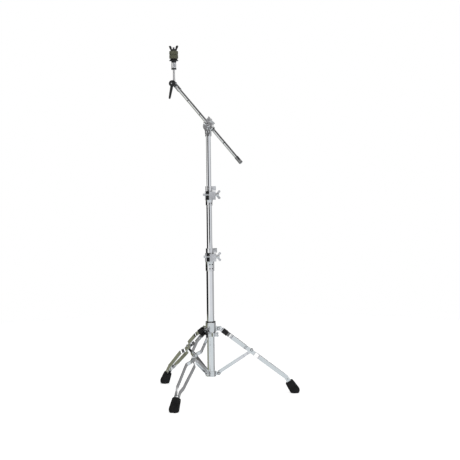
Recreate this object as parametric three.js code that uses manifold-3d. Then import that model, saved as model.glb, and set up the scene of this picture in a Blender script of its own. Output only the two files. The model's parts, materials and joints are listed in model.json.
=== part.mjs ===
// Cymbal boom stand: a folding tripod with split strip legs, a three-stage telescopic column,
// a tilting boom and a cymbal tilter. Millimetres, +Z up, leg 1 along +X.

import * as THREE from "three";
import { mergeVertices } from "three/addons/utils/BufferGeometryUtils.js";
import Module from "manifold-3d";

const wasm = await Module();
wasm.setup();

// ---------------------------------------------------------------- driving dimensions
const GAP = 0.35; // clearance between pieces that touch or run on each other

// telescopic column
const LOWER_TUBE = { r: 14.3, bore: 13, bottom: 78, top: 514 };
const MIDDLE_TUBE = { r: 11.1, bore: 9.95, bottom: 300, top: 747 };
const UPPER_TUBE = { r: 9.5, bore: 8.3, bottom: 570, top: 1009 };

// tripod linkage: equal links, equal hinge radii, so the collar moves exactly vertically
const HINGE_RADIUS = 28.8; // distance of the hip and brace hinges from the column axis
const LINK = 154.4; // hip hinge to knee rivet, and knee rivet to brace hinge
const SPREAD = 56; // degrees between the column and each link
const BRACE_HINGE_Z = 86.1;
const HIP_Z = BRACE_HINGE_Z + 2 * LINK * Math.cos(radians(SPREAD));
const LEG_AZIMUTHS = [0, 120, 240];

// leg strips: two bent flat bars on edge, joined at the hip, pinched at the knee, held in the foot
const STRIP_THICKNESS = 2.6;
const STRIP_DEPTH = 16;
const STRIP_RISE = 4.6; // strip centreline above the hip hinge
const KNEE_ABOVE_STRIP = 5.2; // knee rivet above the strip centreline
const STRIP_TO_LINK = degrees(Math.asin((STRIP_RISE + KNEE_ABOVE_STRIP) / LINK));
const STRIP_ANGLE = SPREAD - STRIP_TO_LINK; // degrees from the column
const KNEE_S = LINK * Math.cos(radians(STRIP_TO_LINK));
const KNEE_N = STRIP_RISE + KNEE_ABOVE_STRIP;
const HIP_HALF_GAP = 4;
const PINCH_HALF_GAP = 1.9;
const PINCH_REACH = 17; // the strips run together this far either side of the knee rivet
const PINCH_BEND = 20; // length of the bends into and out of the pinch
const UPPER_LOOP_HALF = 18;
const LOWER_LOOP_HALF = 17.5;
const FOOT_LOOP_HALF = 13.5; // the loop narrows to this before it closes in to the foot
const FOOT_HALF = 6.9;
const FOOT_BEND = 30; // length of that last bend
const BEND_S = 326.5; // where the strips bend down into the foot
const BEND_STEEPER = 19.4; // degrees
const STRIP_PAST_BEND = 48; // the last straight run, most of it inside the foot
const EYE_RADIUS = 7.6;
const KNEE_EYE_RADIUS = 6.2;
const PIN_RADIUS = 2.5;
const HOLE_RADIUS = 2.87;
const HIP_STRAIGHT = 12; // the strips run parallel this far past the hip hinge
const LOOP_WIDE_AT = 64; // and reach their widest here
const SLEEVE = { from: 17, to: 39, wall: 1.2, bridgeTo: 24, bridgeHeight: 6 };

// rubber foot
const FOOT_TILT = STRIP_ANGLE - BEND_STEEPER; // degrees from vertical
const FOOT_AXIS_LENGTH = 75; // from the strip bend down to the floor
const FOOT_R = 331; // where the foot's axis meets the floor

// brace: a folded channel, its outer end crimped flat to go between the strips
const BRACE = { half: 7.5, wall: 2, depth: 11, lean: 3, crimpFrom: 112.4, crimpTo: 124.4, tongue: 1.6 };
const BRACE_EYE = 6.4;

// collars that carry the legs and braces
const LOWER_COLLAR = { bottom: 75, top: 96, r: 18.4 };
const BRACE_LUG = { eye: BRACE_EYE, half: 4.8, root: 16.5, rootHalf: 8 };
const LEG_COLLAR = { bottom: 230, step: 246, top: 284, r: 20, bandR: 19, counterbore: 17.2 };
const HIP_LUG = { eye: 8, half: 3.65, root: 18.5, rootHalf: 11 };
const LEG_CLAMP = { azimuth: -66, earHalf: 8, earFrom: -31.5, earTo: -15.5, slitHalf: 1.3, boltY: -26 };

// split clamps on the column: every one has a front ear pair and a cross bolt
const CLAMP_TURN = -6.5; // degrees, the way the clamp fronts face away from straight ahead
const LOWER_CLAMP = { outer: LOWER_TUBE, inner: MIDDLE_TUBE, bottom: 480, shoulder: 516, top: 548 };
const UPPER_CLAMP = { outer: MIDDLE_TUBE, inner: UPPER_TUBE, bottom: 730, shoulder: 750, top: 784 };
const CLAMP_WALL = 2.6;
const CLAMP_HEAD_WALL = 4;
const CLAMP_EARS = { left: [-15.5, -12.2], right: [0, 25], reach: 10, root: -4 };
const CROSS_BOLT = { out: 8.4, up: 4, head: 4.5, headFrom: -23, to: 38 }; // out: in front of the tube
const BUSHING_LIP = 1.2; // the bushing stands proud of its clamp
const LOCK = { height: 17, wall: 4.2, earReach: 12.5, earHalf: 6.5, screwOut: 6, screwHead: 3 };
const BOLT_RADIUS = 3;
const BOLT_HOLE = 3.4;
const LOCK_SCREW_RADIUS = 2.5;
const LOCK_SCREW_HOLE = 2.9;

// boom
const BOOM_TURN = -26.5; // degrees about the column; the boom rises towards local -X
const BOOM_TILT = 41.4; // degrees of the boom from vertical
const TILTER_Z = 1030;
const BOOM_SIDE = 19; // the boom runs this far behind the column axis
const BOOM = { r: 6.35, bore: 5.1, bottom: -185, top: 201 };
const BARREL = { r: 10.4, bottom: -16, top: 28 };
const BOOM_BUSHING_WALL = 1.6;
const END_CAP = { r: 7.6, end: 2.5, reach: 28 };
const TILTER_DISCS = { postR: 18.5, clampR: 17, front: -9.6, meet: -1.5, clampMeet: -1.1 };
const POST_SLEEVE = { r: 12.2, bottom: 991 };
const PINCH_SCREW = { x: 12.8, z: 20 }; // in the boom's frame, through the boom clamp's ears

// cymbal tilter, heights from its pivot
const PIVOT_UP_BOOM = 221;
const YOKE = { socketR: 8.6, socketFrom: -36, socketTo: -16.5, earR: 9, earFrom: 5.1, earTo: 8.4 };
const LEVER = { front: -27, back: -8.4 - GAP, hubR: 12.4, handleR: 5.6, length: 60, swing: 12 };
const HUB = { r: 8.3, half: 4.7 };
const ROD_R = 4;
const ROD_TOP = 139;
const SEAT_SLEEVE = { bottom: 52.5, top: 80, r: 9.4 };
const SEAT = { neckR: 9.6, neckTop: 87, rimR: 17.9, topR: 12, top: 94.5 };
const FELT = { r: 17.2, height: 14.6, bottom: 94.9, edge: 1.2 };

const TUBE_SIDES = 24;
const PIN_SIDES = 10;
const HUB_SIDES = 18;
const FAR = 40; // cutting shapes reach this far, well past what they cut
const BEND_STEPS = 6; // straight pieces in each bend of a strip

// ---------------------------------------------------------------- materials
function finish(color, roughness, metalness) {
  return new THREE.MeshStandardMaterial({ color, roughness, metalness });
}
const chrome = finish(0xd4d6d8, 0.12, 1);
const castChrome = finish(0xb9bbbd, 0.25, 1);
const rubber = finish(0x1b1b1b, 0.8, 0);
const nylon = finish(0x161616, 0.5, 0);
const plastic = finish(0x1d1d1c, 0.4, 0);
const felt = finish(0x66675a, 1, 0);

// ---------------------------------------------------------------- small tools
function radians(angle) {
  return (angle * Math.PI) / 180;
}

function degrees(angle) {
  return (angle * 180) / Math.PI;
}

function solidOf(geometry) {
  const bare = geometry.clone();
  bare.deleteAttribute("normal");
  bare.deleteAttribute("uv");
  const merged = mergeVertices(bare, 1e-4);
  return new wasm.Manifold(
    new wasm.Mesh({
      numProp: 3,
      vertProperties: new Float32Array(merged.attributes.position.array),
      triVerts: new Uint32Array(merged.index.array),
    }),
  );
}

function geometryOf(solid) {
  const mesh = solid.getMesh();
  const geometry = new THREE.BufferGeometry();
  geometry.setAttribute("position", new THREE.BufferAttribute(new Float32Array(mesh.vertProperties), 3));
  geometry.setIndex(new THREE.BufferAttribute(new Uint32Array(mesh.triVerts), 1));
  return geometry;
}

function join(...geometries) {
  return geometryOf(geometries.map(solidOf).reduce((whole, piece) => whole.add(piece)));
}

function cut(body, ...tools) {
  return geometryOf(tools.map(solidOf).reduce((rest, tool) => rest.subtract(tool), solidOf(body)));
}

function common(a, b) {
  return geometryOf(solidOf(a).intersect(solidOf(b)));
}

// a profile of [radius, height] points turned about the Z axis
function lathe(profile, sides = TUBE_SIDES) {
  const points = profile.map(([radius, height]) => new THREE.Vector2(radius, height));
  return new THREE.LatheGeometry(points, sides).rotateX(Math.PI / 2);
}

function rod(radius, from, to, sides = PIN_SIDES) {
  return lathe([[0, from], [radius, from], [radius, to], [0, to]], sides);
}

function tube(bore, radius, from, to, sides = TUBE_SIDES) {
  return lathe([[bore, from], [radius, from], [radius, to], [bore, to], [bore, from]], sides);
}

function alongX(geometry) {
  return geometry.rotateY(Math.PI / 2);
}

function alongY(geometry) {
  return geometry.rotateX(-Math.PI / 2);
}

function block(x, y, z) {
  const size = [x[1] - x[0], y[1] - y[0], z[1] - z[0]];
  const centre = [(x[0] + x[1]) / 2, (y[0] + y[1]) / 2, (z[0] + z[1]) / 2];
  return new THREE.BoxGeometry(...size).translate(...centre);
}

function outline(points) {
  return new THREE.Shape(points.map(([x, y]) => new THREE.Vector2(x, y)));
}

// an outline in X and Z, extruded along Y
function plate(shape, y, curveSegments = 6) {
  const depth = y[1] - y[0];
  const geometry = new THREE.ExtrudeGeometry(shape, { depth, bevelEnabled: false, curveSegments });
  return geometry.rotateX(Math.PI / 2).translate(0, y[1], 0);
}

// an outline in X and Y, extruded along Z
function slab(shape, z) {
  const geometry = new THREE.ExtrudeGeometry(shape, { depth: z[1] - z[0], bevelEnabled: false });
  return geometry.translate(0, 0, z[0]);
}

function pinHole(x, z) {
  return alongY(rod(HOLE_RADIUS, -FAR, FAR)).translate(x, 0, z);
}

function addMesh(parent, name, geometry, material) {
  const mesh = new THREE.Mesh(geometry, material);
  mesh.name = name;
  parent.add(mesh);
}

// a frame turned about its own X first, then Y, then Z
function frame(parent, { at = [0, 0, 0], turnX = 0, turnY = 0, turnZ = 0 }) {
  const group = new THREE.Group();
  group.position.set(...at);
  group.rotation.set(radians(turnX), radians(turnY), radians(turnZ), "ZYX");
  parent.add(group);
  return group;
}

// a rivet or clevis pin along Y: a shank that fills a stack of plates, and a domed head on each side
function rivet(halfStack, headRadius = 4.6, headHeight = 2) {
  const inner = halfStack + GAP;
  const outer = inner + headHeight;
  return alongY(
    lathe(
      [
        [0, -outer],
        [headRadius, -inner],
        [PIN_RADIUS, -inner],
        [PIN_RADIUS, inner],
        [headRadius, inner],
        [0, outer],
      ],
      PIN_SIDES,
    ),
  );
}

// a wing hub along +X starting at 0; the wings lie in the XZ plane and lean outwards
function wingHub({ hubRadius = 7, hubLength = 13, reach = 17, tip = 21, wing = 4 }) {
  const hub = alongX(
    lathe([[0, 0], [hubRadius, 0], [hubRadius, 4], [hubRadius - 1.5, hubLength], [0, hubLength]], HUB_SIDES),
  );
  const ear = new THREE.Shape();
  ear.moveTo(1.5, hubRadius - 3);
  ear.lineTo(tip - 9, reach - 2);
  ear.absarc(tip - 5, reach - 5, 5, radians(140), radians(-20), true);
  ear.lineTo(hubLength - 1, hubRadius - 3);
  const upper = plate(ear, [-wing / 2, wing / 2]);
  const lower = upper.clone().rotateX(Math.PI);
  return join(hub, upper, lower);
}

// ---------------------------------------------------------------- column
function buildLowerTube(parent) {
  const { r, bore, bottom, top } = LOWER_TUBE;
  addMesh(parent, "lower_tube", tube(bore, r, bottom, top), chrome);
  const lip = bottom - GAP;
  const lipHeight = 3;
  const plugTop = bottom + 12;
  const plug = lathe([
    [0, lip - lipHeight],
    [r - 2, lip - lipHeight],
    [r, lip - lipHeight / 2],
    [r, lip],
    [bore - GAP, lip],
    [bore - GAP, plugTop],
    [0, plugTop],
  ]);
  addMesh(parent, "tube_plug", plug, plastic);
}

// a hinge lug at each leg azimuth, with its pin hole; root is where it leaves the collar
function lugs(eyeZ, { eye, half, root, rootHalf }) {
  const side = new THREE.Shape();
  side.moveTo(root, eyeZ - rootHalf);
  side.lineTo(HINGE_RADIUS, eyeZ - eye);
  side.absarc(HINGE_RADIUS, eyeZ, eye, radians(-90), radians(90), false);
  side.lineTo(root, eyeZ + rootHalf);
  const lug = cut(plate(side, [-half, half]), pinHole(HINGE_RADIUS, eyeZ));
  return LEG_AZIMUTHS.map((azimuth) => lug.clone().rotateZ(radians(azimuth)));
}

function buildLowerCollar(parent) {
  const { bottom, top, r } = LOWER_COLLAR;
  const band = tube(LOWER_TUBE.r + GAP, r, bottom, top);
  const hinges = lugs(BRACE_HINGE_Z, BRACE_LUG);
  addMesh(parent, "lower_collar", join(band, ...hinges), castChrome);
}

function buildLegCollar(parent) {
  const { bottom, step, top, r, bandR, counterbore } = LEG_COLLAR;
  const { azimuth, earHalf, earFrom, earTo, slitHalf, boltY } = LEG_CLAMP;
  const bore = LOWER_TUBE.r + GAP;
  const body = lathe([
    [bore, bottom],
    [bandR - 1, bottom],
    [bandR, bottom + 1],
    [bandR, step],
    [r, step + 2],
    [r, top - 1.5],
    [r - 1.5, top],
    [counterbore, top],
    [counterbore, step],
    [bore, step],
    [bore, bottom],
  ]);
  const turnZ = azimuth + 90;
  const bandMiddle = (bottom + step) / 2;
  const ears = block([-earHalf, earHalf], [earFrom, earTo], [bottom + 1, step - 1]);
  const slit = block([-slitHalf, slitHalf], [earFrom - 2, -12], [bottom - 1, step - 0.4]);
  const boltHole = alongX(rod(BOLT_HOLE, -FAR, FAR)).translate(0, boltY, bandMiddle);
  const split = cut(ears, slit, boltHole).rotateZ(radians(turnZ));
  const slitInBody = slit.clone().rotateZ(radians(turnZ));
  const whole = join(cut(body, slitInBody), split, ...lugs(HIP_Z, HIP_LUG));
  const boreCut = rod(bore, bottom - 1, step + 1, TUBE_SIDES);
  addMesh(parent, "leg_collar", cut(whole, boreCut), castChrome);

  const lip = { from: top + GAP, to: top + GAP + 2.4, r: r - 0.6 };
  const bushing = lathe([
    [bore, step + GAP],
    [counterbore - GAP, step + GAP],
    [counterbore - GAP, lip.from],
    [lip.r, lip.from],
    [lip.r, lip.to],
    [bore, lip.to],
    [bore, step + GAP],
  ]);
  addMesh(parent, "collar_bushing", bushing, nylon);

  const screw = join(
    wingHub({ hubRadius: 5.5, hubLength: 8, reach: 10, tip: 11, wing: 3.4 }),
    alongX(rod(BOLT_RADIUS, -2 * earHalf - 0.5, 1)),
  );
  const clampFrame = frame(parent, { turnZ });
  const screwFrame = frame(clampFrame, { at: [earHalf + GAP, boltY, bandMiddle] });
  addMesh(screwFrame, "collar_wing_screw", screw, castChrome);
}

// ---------------------------------------------------------------- legs and braces
// the strip's midline in plan: distance along the leg, half distance between the strips
function legMidline(side) {
  const half = STRIP_THICKNESS / 2;
  const end = BEND_S + STRIP_PAST_BEND;
  const stations = [
    [-12, HIP_HALF_GAP + half],
    [HIP_STRAIGHT, HIP_HALF_GAP + half],
    [LOOP_WIDE_AT, UPPER_LOOP_HALF],
    [KNEE_S - PINCH_REACH - PINCH_BEND, UPPER_LOOP_HALF],
    [KNEE_S - PINCH_REACH, PINCH_HALF_GAP + half],
    [KNEE_S + PINCH_REACH, PINCH_HALF_GAP + half],
    [KNEE_S + PINCH_REACH + PINCH_BEND, LOWER_LOOP_HALF],
    [BEND_S - FOOT_BEND, FOOT_LOOP_HALF],
    [BEND_S, FOOT_HALF],
    [end, FOOT_HALF],
  ];
  const points = [];
  for (let i = 0; i + 1 < stations.length; i += 1) {
    const [fromS, fromT] = stations[i];
    const [toS, toT] = stations[i + 1];
    const steps = fromT === toT ? 1 : BEND_STEPS;
    for (let k = 0; k < steps; k += 1) {
      const part = k / steps;
      const s = fromS + (toS - fromS) * part;
      const t = fromT + (toT - fromT) * THREE.MathUtils.smoothstep(part, 0, 1);
      points.push(new THREE.Vector2(s, side * t));
    }
  }
  points.push(new THREE.Vector2(end, side * FOOT_HALF));
  return points;
}

function bandShape(midline, thickness) {
  const left = [];
  const right = [];
  midline.forEach((point, i) => {
    const before = midline[Math.max(i - 1, 0)];
    const after = midline[Math.min(i + 1, midline.length - 1)];
    const normal = new THREE.Vector2(before.y - after.y, after.x - before.x).normalize();
    left.push(point.clone().addScaledVector(normal, thickness / 2));
    right.push(point.clone().addScaledVector(normal, -thickness / 2));
  });
  return new THREE.Shape([...left, ...right.reverse()]);
}

// the strip's outline seen from the side: distance along the leg, height above the hip hinge
function stripSide() {
  const low = STRIP_RISE - STRIP_DEPTH / 2;
  const high = STRIP_RISE + STRIP_DEPTH / 2;
  const mitre = (STRIP_DEPTH / 2) * Math.tan(radians(BEND_STEEPER / 2));
  const along = new THREE.Vector2(Math.cos(radians(BEND_STEEPER)), -Math.sin(radians(BEND_STEEPER)));
  const across = new THREE.Vector2(-along.y, along.x);
  const bend = new THREE.Vector2(BEND_S, STRIP_RISE);
  const end = bend.clone().addScaledVector(along, STRIP_PAST_BEND);
  const endHigh = end.clone().addScaledVector(across, STRIP_DEPTH / 2);
  const endLow = end.clone().addScaledVector(across, -STRIP_DEPTH / 2);
  const kneeEdge = Math.asin((high - KNEE_N) / KNEE_EYE_RADIUS);
  const side = new THREE.Shape();
  side.moveTo(0, -EYE_RADIUS);
  side.absarc(0, 0, EYE_RADIUS, radians(-90), radians(130), true);
  side.lineTo(3, high);
  side.absarc(KNEE_S, KNEE_N, KNEE_EYE_RADIUS, Math.PI - kneeEdge, kneeEdge, true);
  side.lineTo(BEND_S + mitre, high);
  side.lineTo(endHigh.x, endHigh.y);
  side.lineTo(endLow.x, endLow.y);
  side.lineTo(BEND_S - mitre, low);
  side.lineTo(14, low);
  return side;
}

function stripGeometry(side) {
  const plan = slab(bandShape(legMidline(side), STRIP_THICKNESS), [-2 * FAR, FAR]);
  const blank = common(plate(stripSide(), [-FAR, FAR]), plan);
  return cut(blank, pinHole(0, 0), pinHole(KNEE_S, KNEE_N));
}

// a moulded cover round each strip near the hip; a low bridge between the strips makes the two one piece
function sleeveGeometry() {
  const { from, to, wall, bridgeTo, bridgeHeight } = SLEEVE;
  const low = STRIP_RISE - STRIP_DEPTH / 2 - GAP;
  const high = STRIP_RISE + STRIP_DEPTH / 2 + GAP;
  const round = STRIP_THICKNESS + 2 * GAP;
  const around = (side, thickness, z) => slab(bandShape(legMidline(side), thickness), z);
  const outside = [-1, 1].map((side) => around(side, round + 2 * wall, [low - wall, high + wall]));
  const inside = [-1, 1].map((side) => around(side, round, [low, high]));
  const covers = common(join(...outside), block([from, to], [-FAR, FAR], [-FAR, FAR]));
  const bridge = block([from, bridgeTo], [-HIP_HALF_GAP, HIP_HALF_GAP], [low - wall, low + bridgeHeight]);
  return cut(join(covers, bridge), ...inside);
}

// the foot stands on the floor at FOOT_R, its axis leaning in, its sole cut flat
function footGeometry() {
  const body = lathe(
    [
      [0, -4],
      [10, -4],
      [16.4, 2],
      [19.4, 12],
      [19, 20],
      [16.4, 51],
      [14, 55],
      [0, 55],
    ],
    20,
  );
  const depth = STRIP_DEPTH / 2 + GAP;
  const bottom = FOOT_AXIS_LENGTH - STRIP_PAST_BEND - GAP;
  const inner = FOOT_HALF - STRIP_THICKNESS / 2 - GAP;
  const outer = FOOT_HALF + STRIP_THICKNESS / 2 + GAP;
  const slots = [-1, 1].map((side) => {
    const edges = [side * inner, side * outer].sort((a, b) => a - b);
    return block([-depth, depth], edges, [bottom, 2 * FAR]);
  });
  const leaning = cut(body, ...slots).rotateY(-radians(FOOT_TILT)).translate(FOOT_R, 0, 0);
  return cut(leaning, block([FOOT_R - FAR, FOOT_R + FAR], [-FAR, FAR], [-FAR, 0]));
}

// the brace from its hinge at the origin along +X; +Z is its upper side, where the web is
function braceGeometry() {
  const { half, wall, depth, lean, crimpFrom, crimpTo, tongue } = BRACE;
  const eye = BRACE_EYE;
  const webFrom = 9;
  const webTo = crimpFrom - 6;
  const upperAt = (x) => depth / 2 + lean - (2 * lean * x) / LINK;
  const lowerAt = (x) => upperAt(x) - depth;
  const side = new THREE.Shape();
  side.moveTo(0, -eye);
  side.absarc(0, 0, eye, radians(-90), radians(100), true);
  side.lineTo(webFrom, upperAt(webFrom));
  side.lineTo(LINK - 8, upperAt(LINK - 8));
  side.absarc(LINK, 0, eye, radians(120), radians(-100), true);
  side.lineTo(LINK - 12, lowerAt(LINK - 12));
  side.lineTo(14, lowerAt(14));
  const plan = outline([
    [-10, -half],
    [crimpFrom, -half],
    [crimpTo, -tongue],
    [LINK + 10, -tongue],
    [LINK + 10, tongue],
    [crimpTo, tongue],
    [crimpFrom, half],
    [-10, half],
  ]);
  const inside = half - wall;
  const channel = outline([
    [-12, -20],
    [webTo, -20],
    [webTo, upperAt(webTo) - wall],
    [webFrom, upperAt(webFrom) - wall],
    [webFrom, 20],
    [-12, 20],
  ]);
  return cut(
    common(plate(side, [-half, half]), slab(plan, [-20, 20])),
    plate(channel, [-inside, inside]),
    pinHole(0, 0),
    pinHole(LINK, 0),
  );
}

function buildLeg(parent, number, azimuth) {
  const radial = frame(parent, { turnZ: azimuth });
  const hip = frame(radial, { at: [HINGE_RADIUS, 0, HIP_Z], turnY: 90 - STRIP_ANGLE });
  addMesh(hip, `leg_${number}_left_strip`, stripGeometry(1), chrome);
  addMesh(hip, `leg_${number}_right_strip`, stripGeometry(-1), chrome);
  addMesh(hip, `leg_${number}_sleeve`, sleeveGeometry(), plastic);
  addMesh(hip, `hip_rivet_${number}`, rivet(HIP_HALF_GAP + STRIP_THICKNESS), castChrome);
  const knee = frame(hip, { at: [KNEE_S, 0, KNEE_N] });
  addMesh(knee, `knee_rivet_${number}`, rivet(PINCH_HALF_GAP + STRIP_THICKNESS), castChrome);
  addMesh(radial, `foot_${number}`, footGeometry(), rubber);

  const braceHinge = frame(radial, { at: [HINGE_RADIUS, 0, BRACE_HINGE_Z], turnY: SPREAD - 90 });
  addMesh(braceHinge, `brace_${number}`, braceGeometry(), chrome);
  addMesh(braceHinge, `brace_pin_${number}`, rivet(BRACE.half), castChrome);
}

// ---------------------------------------------------------------- tube joints
// a split clamp: sleeve on the outer tube, wide head around a nylon bushing, cross bolt and wing nut
function buildTubeClamp(parent, name, { outer, inner, bottom, shoulder, top }) {
  const turned = frame(parent, { turnZ: CLAMP_TURN });
  const bore = outer.r + GAP;
  const sleeveR = outer.r + CLAMP_WALL;
  const headR = outer.r + CLAMP_HEAD_WALL;
  const { left, right, reach, root } = CLAMP_EARS;
  const front = -(headR + reach);
  const boltY = -(outer.r + CROSS_BOLT.out);
  const boltZ = (shoulder + top) / 2 + CROSS_BOLT.up;
  const body = lathe([
    [bore, bottom],
    [sleeveR - 0.8, bottom],
    [sleeveR, bottom + 1],
    [sleeveR, shoulder - 2],
    [headR, shoulder + 1],
    [headR, top],
    [bore, top],
    [bore, bottom],
  ]);
  const ears = [left, right].map((x) => block(x, [front, root], [shoulder + 2, top - 1]));
  const window = block([left[1], right[0]], [front - 2, root - 2], [shoulder + 1, top + 1]);
  const boreCut = rod(bore, bottom - 1, top + 1, TUBE_SIDES);
  const boltHole = alongX(rod(BOLT_HOLE, -FAR, FAR)).translate(0, boltY, boltZ);
  addMesh(turned, `${name}_clamp`, cut(join(body, ...ears), window, boreCut, boltHole), castChrome);

  const keyWidth = [left[1] + GAP, right[0] - GAP];
  const key = block(keyWidth, [boltY + BOLT_HOLE + 0.6, -inner.r], [shoulder + 1 + GAP, top]);
  const lining = rod(outer.r, outer.top + GAP, top + BUSHING_LIP, TUBE_SIDES);
  const bushingBore = rod(inner.r + GAP, outer.top - 1, top + 3, TUBE_SIDES);
  addMesh(turned, `${name}_bushing`, cut(join(lining, key), bushingBore), nylon);

  const across = [-CROSS_BOLT.head, CROSS_BOLT.head];
  const head = block([CROSS_BOLT.headFrom, left[0] - GAP], across, across);
  const shank = alongX(rod(BOLT_RADIUS, left[0] - 1, CROSS_BOLT.to));
  addMesh(turned, `${name}_bolt`, join(head, shank).translate(0, boltY, boltZ), castChrome);

  const nutFrame = frame(turned, { at: [right[1] + GAP, boltY, boltZ] });
  const nut = cut(wingHub({ hubLength: 12, tip: 18 }), alongX(rod(BOLT_RADIUS + GAP, -1, FAR)));
  addMesh(nutFrame, `${name}_wing_nut`, nut, castChrome);
}

// a memory lock: a split ring on the inner tube with a squared ear and its key screw
function buildMemoryLock(parent, name, { inner, top }) {
  const turned = frame(parent, { turnZ: CLAMP_TURN });
  const { height, wall, earReach, earHalf, screwOut, screwHead } = LOCK;
  const bottom = top + BUSHING_LIP + GAP;
  const ringTop = bottom + height;
  const bore = inner.r + GAP;
  const ringR = inner.r + wall;
  const earEnd = ringR + earReach;
  const ear = block([bore + 1, earEnd], [-earHalf, earHalf], [bottom + 0.5, ringTop]);
  const slit = block([bore - 2, earEnd + 1], [-1, 1], [bottom - 1, ringTop + 1]);
  const screwX = ringR + screwOut;
  const screwZ = (bottom + ringTop) / 2;
  const hole = alongY(rod(LOCK_SCREW_HOLE, -FAR, FAR)).translate(screwX, 0, screwZ);
  const boreCut = rod(bore, bottom - 1, ringTop + 1, TUBE_SIDES);
  const ring = cut(join(tube(bore, ringR, bottom, ringTop), ear), boreCut, slit, hole);
  addMesh(turned, `${name}_memory_lock`, ring, castChrome);

  const across = [-screwHead, screwHead];
  const head = block(across, [-earHalf - 5, -earHalf - GAP], across);
  const shank = alongY(rod(LOCK_SCREW_RADIUS, -earHalf - 1.5, earHalf + 2));
  addMesh(turned, `${name}_lock_screw`, join(head, shank).translate(screwX, 0, screwZ), castChrome);
}

function buildTube(parent, name, { r, bore, bottom, top }) {
  addMesh(parent, name, tube(bore, r, bottom, top), chrome);
}

// ---------------------------------------------------------------- boom tilter
// a sleeve on the upper tube, a flat neck and a disc that the boom clamp's disc turns against
function buildTilterPost(parent) {
  const { postR, front, meet } = TILTER_DISCS;
  const sleeveTop = UPPER_TUBE.top + 2;
  const neckTop = TILTER_Z - 8;
  const sleeve = rod(POST_SLEEVE.r, POST_SLEEVE.bottom, sleeveTop, TUBE_SIDES);
  const tubeBore = rod(UPPER_TUBE.r + GAP, POST_SLEEVE.bottom - 1, UPPER_TUBE.top + GAP, TUBE_SIDES);
  const disc = alongY(rod(postR, front, meet, TUBE_SIDES)).translate(0, 0, TILTER_Z);
  const neckShape = outline([
    [-10, 1000],
    [10, 1000],
    [11, sleeveTop],
    [14.5, neckTop],
    [-14.5, neckTop],
    [-11, sleeveTop],
  ]);
  const neck = plate(neckShape, [front, meet]);
  const slots = [-1, 1].map((side) => block([side * 5 - 1, side * 5 + 1], [-14, -6], [993, 1006]));
  const screwHole = alongY(rod(BOLT_HOLE, -FAR, FAR)).translate(0, 0, TILTER_Z);
  addMesh(parent, "tilter_post", cut(join(sleeve, neck, disc), tubeBore, screwHole, ...slots), castChrome);
}

// built in the boom's own frame: +Z up the boom, origin beside the tilter's pivot
function buildBoomClamp(boomFrame) {
  const { clampR, clampMeet } = TILTER_DISCS;
  const { bottom, top, r } = BARREL;
  const earHalf = 9;
  const linerR = BOOM.r + BOOM_BUSHING_WALL;
  const disc = alongY(rod(clampR, clampMeet, BOOM_SIDE - 4, TUBE_SIDES)).translate(0, -BOOM_SIDE, 0);
  const ears = block([4, 17], [-earHalf, earHalf], [12, top]);
  const bore = rod(linerR + GAP, bottom - 1, top + 1, TUBE_SIDES);
  const slit = block([4, 18], [-1.2, 1.2], [bottom - 1, top + 1]);
  const pinch = alongY(rod(BOLT_HOLE, -FAR, FAR)).translate(PINCH_SCREW.x, 0, PINCH_SCREW.z);
  const tension = alongY(rod(BOLT_HOLE, -BOOM_SIDE - 5, -9.5));
  const casting = join(disc, rod(r, bottom, top, TUBE_SIDES), ears);
  addMesh(boomFrame, "boom_clamp", cut(casting, bore, slit, pinch, tension), castChrome);

  const bushing = tube(BOOM.r + GAP, linerR, bottom - 1.5, top + 1.5);
  addMesh(boomFrame, "boom_bushing", bushing, nylon);

  const screwAt = [PINCH_SCREW.x, earHalf + GAP, PINCH_SCREW.z];
  const pinchFrame = frame(boomFrame, { at: screwAt, turnZ: 90 });
  const pinchScrew = join(wingHub({ reach: 19, tip: 19 }), alongX(rod(BOLT_RADIUS, -2 * earHalf - 4, 1)));
  addMesh(pinchFrame, "boom_wing_screw", pinchScrew, castChrome);
}

function buildTensionScrew(tilterFrame) {
  const screwFrame = frame(tilterFrame, { at: [0, TILTER_DISCS.front - GAP, 0], turnX: 30, turnZ: -90 });
  const screw = join(wingHub({ reach: 15, tip: 16 }), alongX(rod(BOLT_RADIUS, -18.5, 1)));
  addMesh(screwFrame, "tilter_wing_screw", screw, castChrome);
}

function buildBoom(boomFrame) {
  const { r, bore, bottom, top } = BOOM;
  addMesh(boomFrame, "boom_tube", tube(bore, r, bottom, top), chrome);

  const capBore = r + GAP;
  const capEnd = bottom - END_CAP.end;
  const capTop = bottom + END_CAP.reach;
  const cap = lathe([
    [0, capEnd],
    [END_CAP.r - 2, capEnd],
    [END_CAP.r, capEnd + 1.5],
    [END_CAP.r, capTop - 2],
    [END_CAP.r - 0.5, capTop],
    [capBore, capTop],
    [capBore, bottom - GAP],
    [0, bottom - GAP],
  ]);
  addMesh(boomFrame, "boom_end_cap", cap, castChrome);
}

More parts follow.
